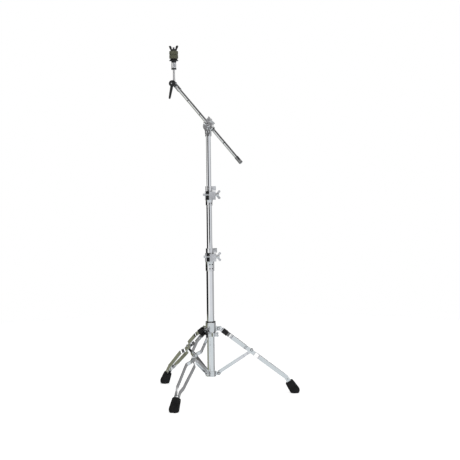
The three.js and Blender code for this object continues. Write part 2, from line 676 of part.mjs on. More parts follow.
// ---------------------------------------------------------------- cymbal tilter
// a socket on the boom's end and two ears, with the tilt bolt through them
function buildYoke(boomFrame) {
  const { socketR, socketFrom, socketTo, earR, earFrom, earTo } = YOKE;
  const socket = rod(socketR, socketFrom, socketTo, TUBE_SIDES);
  const boomEnd = BOOM.top + GAP - PIVOT_UP_BOOM;
  const boomBore = rod(BOOM.r + GAP, socketFrom - 1, boomEnd, TUBE_SIDES);
  const ears = [-1, 1].map((side) => {
    const ends = [side * earFrom, side * earTo].sort((a, b) => a - b);
    const web = block([-6.5, 6.5], ends, [socketTo - 3, -2]);
    return join(alongY(rod(earR, ...ends, HUB_SIDES)), web);
  });
  const hole = alongY(rod(BOLT_HOLE, -FAR, FAR));
  const yoke = cut(join(socket, ...ears), boomBore, hole).translate(0, 0, PIVOT_UP_BOOM);
  addMesh(boomFrame, "boom_yoke", yoke, castChrome);

  const nutFace = earTo + GAP;
  const shank = alongY(rod(BOLT_RADIUS, LEVER.front, nutFace + 1));
  const nut = alongY(rod(5.5, nutFace, nutFace + 4, 6));
  addMesh(boomFrame, "tilt_bolt", join(shank, nut).translate(0, 0, PIVOT_UP_BOOM), castChrome);
}

function buildCymbalRod(rodFrame) {
  const hub = alongY(rod(HUB.r, -HUB.half, HUB.half, HUB_SIDES));
  const shaft = lathe(
    [
      [0, 0],
      [HUB.half, 0],
      [HUB.half, 16],
      [ROD_R, 18],
      [ROD_R, ROD_TOP - 1],
      [ROD_R - 1, ROD_TOP],
      [0, ROD_TOP],
    ],
    14,
  );
  const hole = alongY(rod(BOLT_HOLE, -FAR, FAR));
  addMesh(rodFrame, "cymbal_rod", cut(join(hub, shaft), hole), chrome);
}

// the sleeve and seat on the rod, the two felts and the wing nut that holds the cymbal down
function buildCymbalSeat(rodFrame) {
  const bore = ROD_R + GAP;
  const { bottom, top, r } = SEAT_SLEEVE;
  addMesh(rodFrame, "seat_sleeve", tube(bore, r, bottom, top), chrome);

  const seat = lathe([
    [bore, top + GAP],
    [SEAT.neckR, top + GAP],
    [SEAT.neckR, SEAT.neckTop - 1],
    [SEAT.rimR, SEAT.neckTop - 0.4],
    [SEAT.rimR, SEAT.neckTop + 1.2],
    [SEAT.topR, SEAT.top],
    [bore, SEAT.top],
    [bore, top + GAP],
  ]);
  addMesh(rodFrame, "cymbal_seat", seat, plastic);

  const washer = (from) => {
    const to = from + FELT.height;
    const { edge } = FELT;
    return lathe(
      [
        [bore, from],
        [FELT.r - edge, from],
        [FELT.r, from + edge],
        [FELT.r, to - edge],
        [FELT.r - edge, to],
        [bore, to],
        [bore, from],
      ],
      20,
    );
  };
  const upperBottom = FELT.bottom + FELT.height + GAP;
  addMesh(rodFrame, "felt_lower", washer(FELT.bottom), felt);
  addMesh(rodFrame, "felt_upper", washer(upperBottom), felt);

  const nutZ = upperBottom + FELT.height + GAP;
  const wing = new THREE.Shape();
  wing.moveTo(5, 0);
  wing.lineTo(11.5, 0);
  wing.lineTo(18.6, 16);
  wing.absarc(16.2, 17.2, 2.7, radians(-20), radians(90), false);
  wing.lineTo(11.5, 19.4);
  wing.lineTo(9.6, 16.5);
  wing.lineTo(7.6, 7);
  wing.lineTo(5, 7);
  const right = plate(wing, [-2.2, 2.2], 5);
  const left = right.clone().rotateZ(Math.PI);
  const nutBody = join(rod(7, 0, 7, HUB_SIDES), right, left);
  const nut = cut(nutBody, rod(bore, -1, 30, 14)).translate(0, 0, nutZ);
  addMesh(rodFrame, "cymbal_wing_nut", nut, plastic);
}

// the lever hangs in front of the yoke: a round hub on the tilt bolt and a tapered handle
function buildLever(rodFrame) {
  const { front, back, hubR, handleR, length, swing } = LEVER;
  const hub = alongY(
    lathe(
      [
        [0, front],
        [9, front],
        [hubR - 0.6, front + 3],
        [hubR, back - 3],
        [hubR - 1.9, back],
        [0, back],
      ],
      HUB_SIDES,
    ),
  );
  const handle = lathe(
    [
      [0, 0],
      [handleR, 0],
      [handleR, 14],
      [handleR - 1.5, length - 3.6],
      [handleR - 2.6, length - 0.8],
      [0, length],
    ],
    12,
  )
    .rotateX(Math.PI)
    .rotateY(radians(swing))
    .translate(0, (front + back) / 2, 0);
  const boltBore = alongY(rod(BOLT_RADIUS + GAP, front - 1, back + 1));
  addMesh(rodFrame, "tilt_lever", cut(join(hub, handle), boltBore), plastic);
}

// ---------------------------------------------------------------- assembly
function buildStand() {
  const stand = new THREE.Group();
  buildLowerTube(stand);
  buildLowerCollar(stand);
  LEG_AZIMUTHS.forEach((azimuth, i) => buildLeg(stand, i + 1, azimuth));
  buildLegCollar(stand);
  buildTubeClamp(stand, "lower", LOWER_CLAMP);
  buildMemoryLock(stand, "lower", LOWER_CLAMP);
  buildTube(stand, "middle_tube", MIDDLE_TUBE);
  buildTubeClamp(stand, "upper", UPPER_CLAMP);
  buildMemoryLock(stand, "upper", UPPER_CLAMP);
  buildTube(stand, "upper_tube", UPPER_TUBE);

  const boomPlane = frame(stand, { turnZ: BOOM_TURN });
  buildTilterPost(boomPlane);
  const tilterFrame = frame(boomPlane, { at: [0, 0, TILTER_Z] });
  buildTensionScrew(tilterFrame);
  const boomFrame = frame(tilterFrame, { at: [0, BOOM_SIDE, 0], turnY: -BOOM_TILT });
  buildBoomClamp(boomFrame);
  buildBoom(boomFrame);
  buildYoke(boomFrame);
  const rodFrame = frame(boomFrame, { at: [0, 0, PIVOT_UP_BOOM], turnY: BOOM_TILT });
  buildCymbalRod(rodFrame);
  buildCymbalSeat(rodFrame);
  buildLever(rodFrame);
  return stand;
}

// the origin is the middle of the whole stand's outline, on the floor
function centreOnFloor(stand) {
  stand.updateMatrixWorld(true);
  const bounds = new THREE.Box3().setFromObject(stand, true);
  const middle = bounds.getCenter(new THREE.Vector3());
  stand.position.set(-middle.x, -middle.y, -bounds.min.z);
  return stand;
}

export default centreOnFloor(buildStand());
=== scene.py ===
# Looks of the cymbal boom stand: chrome tubes and castings, rubber feet, felts, floor, light and camera.
# Pieces are modelled in millimetres in the same frames as the solids, then written in metres.
import json
import math

import bmesh
import bpy
from mathutils import Matrix, Vector, noise


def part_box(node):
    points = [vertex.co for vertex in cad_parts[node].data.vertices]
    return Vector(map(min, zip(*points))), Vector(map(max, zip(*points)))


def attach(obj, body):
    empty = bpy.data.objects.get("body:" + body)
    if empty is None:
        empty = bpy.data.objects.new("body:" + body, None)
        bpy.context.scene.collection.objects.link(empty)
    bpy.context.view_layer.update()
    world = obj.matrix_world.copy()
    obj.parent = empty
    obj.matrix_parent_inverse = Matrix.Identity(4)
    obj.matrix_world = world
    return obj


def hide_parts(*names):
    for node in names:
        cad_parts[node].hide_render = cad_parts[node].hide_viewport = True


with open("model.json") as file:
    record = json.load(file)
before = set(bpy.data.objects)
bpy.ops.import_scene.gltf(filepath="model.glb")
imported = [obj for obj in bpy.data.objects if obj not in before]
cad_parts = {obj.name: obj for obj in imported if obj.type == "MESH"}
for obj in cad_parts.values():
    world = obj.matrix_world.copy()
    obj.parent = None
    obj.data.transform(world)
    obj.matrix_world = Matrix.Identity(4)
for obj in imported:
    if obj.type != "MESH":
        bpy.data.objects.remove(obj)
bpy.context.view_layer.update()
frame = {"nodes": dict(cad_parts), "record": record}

MM = 0.001
SIDES = 96
LEGS = (1, 2, 3)

# ---------------------------------------------------------------- the object's dimensions, in millimetres
GAP = 0.35
HINGE_RADIUS = 28.8
LINK = 154.4
SPREAD = 56.0
BRACE_HINGE_Z = 86.1
HIP_Z = BRACE_HINGE_Z + 2 * LINK * math.cos(math.radians(SPREAD))
STRIP_THICKNESS = 2.6
STRIP_RISE = 4.6
KNEE_N = 9.8
STRIP_TO_LINK = math.degrees(math.asin(KNEE_N / LINK))
STRIP_ANGLE = SPREAD - STRIP_TO_LINK
KNEE_S = LINK * math.cos(math.radians(STRIP_TO_LINK))
HIP_STACK = 6.6
KNEE_STACK = 4.5
BRACE_STACK = 7.5
FOOT_HALF = 6.9
BEND_S = 326.5
BEND_STEEPER = 19.4
FOOT_RIVET_S = 8.0
FOOT_TILT = STRIP_ANGLE - BEND_STEEPER
FOOT_R = 331.0
LOWER_TUBE = {"r": 14.3, "bore": 13.0, "bottom": 78.0, "top": 514.0}
MIDDLE_TUBE = {"r": 11.1, "bore": 9.95, "bottom": 300.0, "top": 747.0}
UPPER_TUBE = {"r": 9.5, "bore": 8.3, "bottom": 570.0, "top": 1009.0}
CLAMP_TURN = -6.5
CLAMP_WALL = 2.6
CRIMP_HEIGHTS = {"lower_clamp": (505.5, 489.5), "upper_clamp": (738.5,)}
CRIMP_ANGLES = (0, 34, 180, 214)
POST_SLOT = {"aside": 5.0, "half": 0.95, "front": -11.6, "back": -10.0, "bottom": 993.1, "top": 1005.9}
DISC_TEETH = 44
TOOTH_DEPTH = 1.0
BOOM_TURN = -26.5
BOOM_TILT = 41.4
TILTER_Z = 1030.0
BOOM_SIDE = 19.0
BOOM = {"r": 6.35, "bore": 5.1, "bottom": -185.0, "top": 201.0}
# heights of the boom's grooves; a black ring sits in each as painted shade
BOOM_GROOVES = (-85.0, 61.0, 133.0)
GROOVE_SHADE_HALF = 1.1
PIVOT_UP_BOOM = 221.0
ROD_R = 4.0
ROD_TOP = 139.0
SEAT_SLEEVE = {"bottom": 52.5, "top": 80.0, "r": 9.4}
SEAT = {"neck_r": 9.6, "neck_top": 87.0, "rim_r": 17.9, "top_r": 12.0, "top": 94.5}
FELT = {"r": 17.2, "height": 14.6, "bottom": 94.9}


# ---------------------------------------------------------------- frames
def move(x, y, z):
    return Matrix.Translation((x, y, z))


def turn(axis, angle):
    return Matrix.Rotation(math.radians(angle), 4, axis)


TUBE_LOW, TUBE_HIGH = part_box("lower_tube")
AXIS = (TUBE_LOW + TUBE_HIGH) / 2
STAND = move(AXIS.x / MM, AXIS.y / MM, 0)
CLAMPS = STAND @ turn("Z", CLAMP_TURN)
BOOM_PLANE = STAND @ turn("Z", BOOM_TURN)
TILTER = BOOM_PLANE @ move(0, 0, TILTER_Z)
BOOM_FRAME = TILTER @ move(0, BOOM_SIDE, 0) @ turn("Y", -BOOM_TILT)
PIVOT = BOOM_FRAME @ move(0, 0, PIVOT_UP_BOOM)
ROD = PIVOT @ turn("Y", BOOM_TILT)
ALONG_Y = turn("X", -90)


def radial(leg):
    return STAND @ turn("Z", (leg - 1) * 120)


def hip(leg):
    return radial(leg) @ move(HINGE_RADIUS, 0, HIP_Z) @ turn("Y", 90 - STRIP_ANGLE)


def brace_hinge(leg):
    return radial(leg) @ move(HINGE_RADIUS, 0, BRACE_HINGE_Z) @ turn("Y", SPREAD - 90)


# ---------------------------------------------------------------- materials
class Paint:
    """A procedural material: a Principled shader and the nodes that feed it."""

    def __init__(self, name, colour, roughness, metallic=0.0, specular=0.5):
        self.material = bpy.data.materials.new(name)
        self.material.use_nodes = True
        self.nodes = self.material.node_tree.nodes
        self.links = self.material.node_tree.links
        self.shader = self.nodes["Principled BSDF"]
        self.set("Base Color", (*colour, 1))
        self.set("Roughness", roughness)
        self.set("Metallic", metallic)
        self.set("Specular IOR Level", specular)
        self.place = self.add("TexCoord").outputs["Object"]

    def add(self, kind, **values):
        node = self.nodes.new("ShaderNode" + kind)
        for name, value in values.items():
            setattr(node, name, value)
        return node

    def set(self, socket, value):
        self.shader.inputs[socket].default_value = value

    def noise(self, scale, detail=3.0, stretch=(1, 1, 1)):
        mapping = self.add("Mapping")
        mapping.inputs["Scale"].default_value = stretch
        self.links.new(self.place, mapping.inputs["Vector"])
        texture = self.add("TexNoise")
        texture.inputs["Scale"].default_value = scale
        texture.inputs["Detail"].default_value = detail
        self.links.new(mapping.outputs["Vector"], texture.inputs["Vector"])
        return texture.outputs["Fac"]

    def cells(self, scale):
        texture = self.add("TexVoronoi")
        texture.inputs["Scale"].default_value = scale
        self.links.new(self.place, texture.inputs["Vector"])
        return texture.outputs["Distance"]

    def colours(self, factor, stops):
        ramp = self.add("ValToRGB")
        while len(ramp.color_ramp.elements) < len(stops):
            ramp.color_ramp.elements.new(0.5)
        for element, (position, colour) in zip(ramp.color_ramp.elements, stops):
            element.position = position
            element.color = (*colour, 1)
        self.links.new(factor, ramp.inputs["Fac"])
        self.links.new(ramp.outputs["Color"], self.shader.inputs["Base Color"])

    def roughness(self, factor, low, high):
        spread = self.add("MapRange")
        spread.inputs["From Min"].default_value = 0.3
        spread.inputs["From Max"].default_value = 0.7
        spread.inputs["To Min"].default_value = low
        spread.inputs["To Max"].default_value = high
        self.links.new(factor, spread.inputs["Value"])
        self.links.new(spread.outputs["Result"], self.shader.inputs["Roughness"])

    def bump(self, *heights):
        """heights are (factor, strength, depth in millimetres)."""
        normal = None
        for factor, strength, depth in heights:
            node = self.add("Bump")
            node.inputs["Strength"].default_value = strength
            node.inputs["Distance"].default_value = depth * MM
            self.links.new(factor, node.inputs["Height"])
            if normal is not None:
                self.links.new(normal, node.inputs["Normal"])
            normal = node.outputs["Normal"]
        self.links.new(normal, self.shader.inputs["Normal"])


def metal(name, dark, light, rough, grain, marks_depth=0.06, peel=0.25):
    """Bright plating: soft tone changes, fine polishing marks along grain, a slight orange peel."""
    paint = Paint(name, light, rough[0], metallic=1.0)
    haze = paint.noise(24, 4)
    marks = paint.noise(900, 2, grain)
    paint.colours(haze, [(0.3, dark), (0.55, light), (0.8, tuple(0.97 * c for c in light))])
    paint.roughness(paint.noise(70, 5), *rough)
    if peel:
        paint.bump((marks, marks_depth, 0.004), (paint.noise(110, 2), peel, 0.012))
    return paint.material


def moulded(name, colour, rough, specular, pimple):
    """Moulded plastic or rubber: fine texture, slightly uneven gloss and a greyish bloom."""
    paint = Paint(name, colour, rough[0], specular=specular)
    bloom = tuple(min(1, 1.9 * c + 0.004) for c in colour)
    paint.colours(paint.noise(55, 5), [(0.35, colour), (0.75, bloom)])
    paint.roughness(paint.noise(120, 4), *rough)
    paint.bump((paint.cells(1500), 0.25, pimple), (paint.noise(500, 3), 0.2, pimple * 1.5))
    return paint.material


def pressed_wool(name):
    """Felt: matted fibres in several tones, with a soft sheen and no gloss."""
    paint = Paint(name, (0.16, 0.16, 0.11), 1.0, specular=0.1)
    paint.set("Sheen Weight", 0.25)
    paint.set("Sheen Roughness", 0.6)
    paint.colours(
        paint.noise(420, 6, (1, 1, 2.2)),
        [(0.3, (0.085, 0.087, 0.055)), (0.5, (0.15, 0.152, 0.1)), (0.72, (0.26, 0.26, 0.19))],
    )
    paint.bump((paint.noise(900, 4, (1, 1, 2.5)), 0.8, 0.35), (paint.noise(180, 3), 0.5, 0.5))
    return paint.material


TUBE_CHROME = metal(
    "tube_chrome", (0.84, 0.85, 0.86), (0.88, 0.89, 0.895), (0.03, 0.05), (1, 1, 0.03), peel=0
)
LEG_CHROME = metal(
    "leg_chrome", (0.78, 0.79, 0.8), (0.85, 0.86, 0.865), (0.03, 0.055), (1, 1, 0.08), peel=0
)
CAST_CHROME = metal(
    "cast_chrome", (0.66, 0.665, 0.67), (0.8, 0.805, 0.81), (0.05, 0.11), (1, 1, 1), peel=0.5
)
ROD_STEEL = metal(
    "rod_steel", (0.42, 0.42, 0.43), (0.5, 0.5, 0.51), (0.12, 0.2), (1, 1, 0.05), 0.05, peel=0.05
)
SMOKED = metal(
    "smoked_chrome", (0.24, 0.24, 0.245), (0.36, 0.36, 0.365), (0.12, 0.22), (1, 1, 1), 0.05, peel=0.1
)
RUBBER = moulded("foot_rubber", (0.0075, 0.0075, 0.008), (0.5, 0.75), 0.28, 0.08)
NYLON = moulded("black_nylon", (0.009, 0.009, 0.009), (0.35, 0.5), 0.3, 0.04)
PLASTIC = moulded("black_plastic", (0.009, 0.009, 0.0095), (0.25, 0.42), 0.4, 0.03)
WOOL = pressed_wool("wool_felt")


# ---------------------------------------------------------------- shapes: (vertices, faces)
def lathe(profile, sides=SIDES):
    """A profile of (radius, height) points turned about Z; a last point equal to the first closes it."""
    closed = profile[0] == profile[-1]
    points = profile[:-1] if closed else profile
    verts = []
    rings = []
    for radius, height in points:
        start = len(verts)
        if radius == 0:
            verts.append((0, 0, height))
            rings.append([start] * sides)
            continue
        for k in range(sides):
            angle = 2 * math.pi * k / sides
            verts.append((radius * math.cos(angle), radius * math.sin(angle), height))
        rings.append(list(range(start, start + sides)))
    pairs = list(zip(rings, rings[1:]))
    if closed:
        pairs.append((rings[-1], rings[0]))
    faces = []
    for low, high in pairs:
        for k in range(sides):
            after = (k + 1) % sides
            face = list(dict.fromkeys((low[k], low[after], high[after], high[k])))
            if len(face) > 2:
                faces.append(face)
    return verts, faces


def prism(points, low, high):
    """An outline of (x, y) points, extruded along Z."""
    count = len(points)
    verts = [(x, y, z) for z in (low, high) for x, y in points]
    faces = [list(range(count))[::-1], list(range(count, 2 * count))]
    for k in range(count):
        after = (k + 1) % count
        faces.append([k, after, count + after, count + k])
    return verts, faces


def band_profile(inner, outer, low, high):
    """A closed profile of a plain ring, for lathe()."""
    return [(inner, low), (outer, low), (outer, high), (inner, high), (inner, low)]


def bar_outline(left, right, front, back):
    """A rectangle of (x, y) points, for prism()."""
    return [(left, front), (right, front), (right, back), (left, back)]


def moved(shape, place):
    verts, faces = shape
    return [tuple(place @ Vector(v)) for v in verts], faces


def together(*shapes):
    verts = []
    faces = []
    for more_verts, more_faces in shapes:
        start = len(verts)
        verts.extend(more_verts)
        faces.extend([start + k for k in face] for face in more_faces)
    return verts, faces


def toothed_ring(inner, outer, depth, teeth, low, high):
    """A ring about Z with square-topped teeth around its rim."""
    rim = []
    for k in range(teeth):
        for part, radius in ((0.0, outer), (0.42, outer), (0.5, outer - depth), (0.92, outer - depth)):
            angle = 2 * math.pi * (k + part) / teeth
            rim.append((radius * math.cos(angle), radius * math.sin(angle)))
    count = len(rim)
    bore = []
    for k in range(count):
        angle = math.atan2(rim[k][1], rim[k][0])
        bore.append((inner * math.cos(angle), inner * math.sin(angle)))
    verts = [(x, y, z) for z in (low, high) for ring in (rim, bore) for x, y in ring]
    faces = []
    for k in range(count):
        after = (k + 1) % count
        rim_low, rim_high = (k, after), (2 * count + k, 2 * count + after)
        bore_low, bore_high = (count + k, count + after), (3 * count + k, 3 * count + after)
        faces.append([rim_low[0], rim_low[1], rim_high[1], rim_high[0]])
        faces.append([bore_low[1], bore_low[0], bore_high[0], bore_high[1]])
        faces.append([rim_low[1], rim_low[0], bore_low[0], bore_low[1]])
        faces.append([rim_high[0], rim_high[1], bore_high[1], bore_high[0]])
    return verts, faces


def thread(radius, low, high, pitch, depth, sides=40, steps=6):
    """A screw thread about Z, from low to high, closed at both ends."""
    rows = int((high - low) / pitch * steps) + 1
    verts = []
    for row in range(rows):
        height = low + (high - low) * row / (rows - 1)
        fade = min(1.0, (height - low) / pitch, (high - height) / pitch)
        for k in range(sides):
            phase = (height / pitch - k / sides) % 1
            ridge = abs(2 * phase - 1)
            reach = radius - depth * fade * (1 - ridge) - 0.25 * depth * (1 - fade)
            angle = 2 * math.pi * k / sides
            verts.append((reach * math.cos(angle), reach * math.sin(angle), height))
    faces = [list(range(sides))[::-1], list(range((rows - 1) * sides, rows * sides))]
    for row in range(rows - 1):
        for k in range(sides):
            after = (k + 1) % sides
            a, b = row * sides, (row + 1) * sides
            faces.append([a + k, a + after, b + after, b + k])
    return verts, faces


# ---------------------------------------------------------------- pieces
def add_piece(name, shape, place, body, material, replaced=(), sharp=35, bevel=0.0, segments=3):
    verts, faces = shape
    mesh = bpy.data.meshes.new(name)
    mesh.from_pydata([tuple(MM * (place @ Vector(v))) for v in verts], [], faces)
    build = bmesh.new()
    build.from_mesh(mesh)
    bmesh.ops.remove_doubles(build, verts=build.verts, dist=1e-7)
    bmesh.ops.recalc_face_normals(build, faces=build.faces)
    build.to_mesh(mesh)
    build.free()
    return dress(name, mesh, body, material, replaced, sharp, bevel, segments)


def dress(name, mesh, body, material, replaced, sharp, bevel, segments):
    """Makes the mesh a piece: smooth shaded up to the sharp angle, edges rounded, riding on its body."""
    mesh.materials.clear()
    mesh.materials.append(material)
    mesh.polygons.foreach_set("use_smooth", [True] * len(mesh.polygons))
    mesh.set_sharp_from_angle(angle=math.radians(sharp))
    piece = bpy.data.objects.new(name, mesh)
    bpy.context.scene.collection.objects.link(piece)
    if bevel:
        rounding = piece.modifiers.new("rounding", "BEVEL")
        rounding.width = bevel * MM
        rounding.segments = segments
        rounding.limit_method = "ANGLE"
        rounding.angle_limit = math.radians(sharp)
        shading = piece.modifiers.new("even_shading", "WEIGHTED_NORMAL")
        shading.keep_sharp = True
        shading.weight = 80
    if replaced:
        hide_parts(*replaced)
    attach(piece, body)
    return piece


NODE_BODY = {node: body for body, nodes in frame["record"]["behaviour"]["bodies"].items() for node in nodes}
NODE_SLOT = {row["node"]: row["material_slot"] for row in frame["record"]["subparts"]}


def recast(node, material, bevel=0.6, sharp=38, segments=3):
    """The node's own shape with its flat facets merged and its edges rounded."""
    build = bmesh.new()
    build.from_mesh(frame["nodes"][node].data)
    bmesh.ops.remove_doubles(build, verts=build.verts, dist=1e-6)
    bmesh.ops.dissolve_limit(build, angle_limit=math.radians(1.0), verts=build.verts, edges=build.edges)
    bmesh.ops.recalc_face_normals(build, faces=build.faces)
    mesh = bpy.data.meshes.new(node + "_shape")
    build.to_mesh(mesh)
    build.free()
    body, slot = NODE_BODY[node], NODE_SLOT[node]
    return dress(node + "_shape", mesh, body, material, (node,), sharp, bevel, segments)


def add_for(node, name, shape, place, material, sharp=35, bevel=0.0, segments=3):
    """A detailed piece that stands for one CAD node."""
    body, slot = NODE_BODY[node], NODE_SLOT[node]
    return add_piece(name, shape, place, body, material, (node,), sharp, bevel, segments)


# ---------------------------------------------------------------- column
def tube_profile(tube, grooves=(), groove_half=1.6, groove_depth=0.7):
    """A closed tube profile with rolled ends and shallow grooves at the given heights."""
    r, bore, bottom, top = tube["r"], tube["bore"], tube["bottom"], tube["top"]
    roll = 0.5
    outside = [(r - roll, bottom), (r, bottom + roll)]
    for height in sorted(grooves):
        outside += [
            (r, height - groove_half),
            (r - groove_depth, height - groove_half / 2),
            (r - groove_depth, height + groove_half / 2),
            (r, height + groove_half),
        ]
    outside += [(r, top - roll), (r - roll, top)]
    return [(bore, bottom), *outside, (bore, top), (bore, bottom)]


def build_crimp_shades(clamp, tube):
    """Small crimp dimples in the clamp's sleeve, in pairs at the front and the back: black plastic dishes,
    painted shade in the dents.
    """
    # the dish is black plastic: painted shade in the crimp's dent
    shade_dish = [(0, -0.1), (1.8, 0.1), (2.4, 0.15), (2.4, -0.9), (0, -0.9)]
    radius = tube["r"] + GAP + CLAMP_WALL
    for row, height in enumerate(CRIMP_HEIGHTS[clamp]):
        for k, angle in enumerate(CRIMP_ANGLES):
            place = CLAMPS @ turn("Z", angle) @ move(0, -radius, height) @ turn("X", 90)
            name = f"{clamp}_crimp_{row}_{k}"
            add_piece(name, lathe(shade_dish, 24), place, NODE_BODY[clamp], PLASTIC)


def build_column():
    for node, tube in (("lower_tube", LOWER_TUBE), ("middle_tube", MIDDLE_TUBE), ("upper_tube", UPPER_TUBE)):
        add_for(node, node + "_drawn", lathe(tube_profile(tube)), STAND, TUBE_CHROME, sharp=30)
    build_crimp_shades("lower_clamp", LOWER_TUBE)
    build_crimp_shades("upper_clamp", MIDDLE_TUBE)
    recast("tube_plug", PLASTIC, 0.3)
    recast("lower_collar", CAST_CHROME, 0.7)
    recast("leg_collar", CAST_CHROME, 0.7)
    recast("collar_bushing", NYLON, 0.3)
    recast("collar_wing_screw", CAST_CHROME, 0.9)
    for joint in ("lower", "upper"):
        recast(joint + "_clamp", CAST_CHROME, 0.8)
        recast(joint + "_bushing", NYLON, 0.4)
        recast(joint + "_bolt", CAST_CHROME, 0.6)
        recast(joint + "_wing_nut", CAST_CHROME, 1.0, segments=4)
        recast(joint + "_memory_lock", CAST_CHROME, 0.7)
        recast(joint + "_lock_screw", CAST_CHROME, 0.5)


# ---------------------------------------------------------------- tripod
def rivet_shape(half_stack, head_radius=4.6, head_height=2.0, shank=2.5):
    """A rivet along Z: a shank and a domed head with a small centre dimple at each end."""
    inner = half_stack + GAP
    dome = []
    steps = 8
    for k in range(steps + 1):
        angle = math.pi / 2 * k / steps
        dome.append((head_radius * math.cos(angle), inner + head_height * math.sin(angle)))
    dome = [(r, z) for r, z in dome if r > 1.1]
    top = dome[-1][1]
    upper = [(shank, inner), (head_radius, inner), *dome[1:], (0.9, top - 0.05), (0, top - 0.5)]
    lower = [(r, -z) for r, z in reversed(upper)]
    return lathe([*lower, *upper], 40)


def washer_shape(middle, bore=2.7, radius=5.9):
    """A thin washer about Z in the gap between a rivet head and the plate under it."""
    half = GAP / 2 - 0.02
    return lathe(band_profile(bore, radius, middle - half, middle + half), 40)


def build_rivets(leg):
    knee = hip(leg) @ move(KNEE_S, 0, KNEE_N)
    for node, place, stack in (
        (f"hip_rivet_{leg}", hip(leg), HIP_STACK),
        (f"knee_rivet_{leg}", knee, KNEE_STACK),
        (f"brace_pin_{leg}", brace_hinge(leg), BRACE_STACK),
    ):
        add_for(node, node + "_domed", rivet_shape(stack), place @ ALONG_Y, CAST_CHROME, sharp=30)
        washers = together(*(washer_shape(side * (stack + GAP / 2)) for side in (-1, 1)))
        add_piece(node + "_washers", washers, place @ ALONG_Y, NODE_BODY[node], NYLON)


def foot_profile():
    """From the sole up to the mouth: a rounded sole, three grip grooves and a rolled mouth."""
    points = [(0, -4), (10, -4), (13.2, -1.6), (16.2, 2), (18.3, 6.4), (19.2, 10), (19.4, 13), (19.3, 17)]
    for height in (20, 24.4, 28.8):
        radius = 19 - 0.085 * (height - 20)
        points += [(radius, height - 0.9), (radius - 0.7, height - 0.3)]
        points += [(radius - 0.75, height + 0.3), (radius - 0.1, height + 0.9)]
    points += [(17.4, 40), (16.5, 50), (15.9, 52.6), (14.9, 54.4), (13.4, 55)]
    points += [(12.4, 54.4), (11.8, 53.4), (0, 53.4)]
    return points


def build_foot(leg):
    place = radial(leg) @ move(FOOT_R, 0, 0) @ turn("Y", -FOOT_TILT)
    body = lathe(foot_profile(), 72)
    foot = add_for(f"foot_{leg}", f"foot_{leg}_moulded", body, place, RUBBER, sharp=50)
    for vertex in foot.data.vertices:
        vertex.co.z = max(vertex.co.z, 0)
    foot.data.update()


def build_leg(leg):
    for side in ("left", "right"):
        recast(f"leg_{leg}_{side}_strip", LEG_CHROME, 0.55)
    recast(f"leg_{leg}_sleeve", PLASTIC, 0.9)
    recast(f"brace_{leg}", LEG_CHROME, 0.7)
    build_rivets(leg)
    build_foot(leg)
    bend = hip(leg) @ move(BEND_S, 0, STRIP_RISE) @ turn("Y", BEND_STEEPER)
    rivet = moved(rivet_shape(FOOT_HALF + STRIP_THICKNESS / 2 - GAP, 3.4, 1.1, 2.0), ALONG_Y)
    place = bend @ move(FOOT_RIVET_S, 0, 0)
    add_piece(f"foot_rivet_{leg}", rivet, place, f"leg_{leg}", CAST_CHROME)


# ---------------------------------------------------------------- boom
def build_tilter():
    recast("tilter_post", CAST_CHROME, 0.8)
    aside, half = POST_SLOT["aside"], POST_SLOT["half"]
    # black bars filling the mouths of the post's slots: painted shade in the slots
    for name, middle in (("post_slot_shade_left", -aside), ("post_slot_shade_right", aside)):
        outline = bar_outline(middle - half, middle + half, POST_SLOT["front"], POST_SLOT["back"])
        slot_shade = prism(outline, POST_SLOT["bottom"], POST_SLOT["top"])
        add_piece(name, slot_shade, BOOM_PLANE, "upper_column", NYLON)
    recast("tilter_wing_screw", CAST_CHROME, 0.9)
    recast("boom_clamp", CAST_CHROME, 0.8)
    recast("boom_bushing", NYLON, 0.3)
    recast("boom_wing_screw", CAST_CHROME, 0.9)
    post_teeth = moved(toothed_ring(16, 19.1, TOOTH_DEPTH, DISC_TEETH, -4.4, -1.6), ALONG_Y)
    add_piece("post_teeth", post_teeth, TILTER, "upper_column", CAST_CHROME, bevel=0.15)
    clamp_teeth = moved(toothed_ring(15, 18.4, TOOTH_DEPTH, DISC_TEETH, -1.0, 1.8), ALONG_Y)
    place = BOOM_FRAME @ move(0, -BOOM_SIDE, 0)
    add_piece("clamp_teeth", clamp_teeth, place, "boom_clamp", CAST_CHROME, bevel=0.15)


def build_boom():
    drawn = lathe(tube_profile(BOOM, BOOM_GROOVES))
    add_for("boom_tube", "boom_tube_drawn", drawn, BOOM_FRAME, TUBE_CHROME, sharp=30)
    # black rings sunk into the boom's grooves: painted shade in the grooves
    for k, groove_height in enumerate(BOOM_GROOVES):
        inner, outer = BOOM["r"] - 0.9, BOOM["r"] - 0.1
        ring = lathe(band_profile(inner, outer, groove_height - GROOVE_SHADE_HALF, groove_height + GROOVE_SHADE_HALF))
        add_piece(f"boom_groove_shade_{k + 1}", ring, BOOM_FRAME, "boom", PLASTIC)
    recast("boom_yoke", CAST_CHROME, 0.6)
    recast("tilt_bolt", CAST_CHROME, 0.4)
    bottom = BOOM["bottom"]
    cap_r = 7.6
    cap = [(0, bottom - 2.5), (5.4, bottom - 2.5), (6.9, bottom - 2), (cap_r, bottom - 0.8)]
    for k in range(4):
        height = bottom + 2 + 2.2 * k
        cap += [(cap_r, height), (cap_r - 0.3, height + 0.4)]
        cap += [(cap_r - 0.3, height + 0.9), (cap_r, height + 1.3)]
    bore = BOOM["r"] + GAP
    cap += [(cap_r, bottom + 26.8), (cap_r - 0.5, bottom + 28), (bore, bottom + 28)]
    cap += [(bore, bottom - GAP), (0, bottom - GAP)]
    turned = lathe(cap, 64)
    add_for("boom_end_cap", "boom_end_cap_turned", turned, BOOM_FRAME, SMOKED, sharp=40, bevel=0.12)


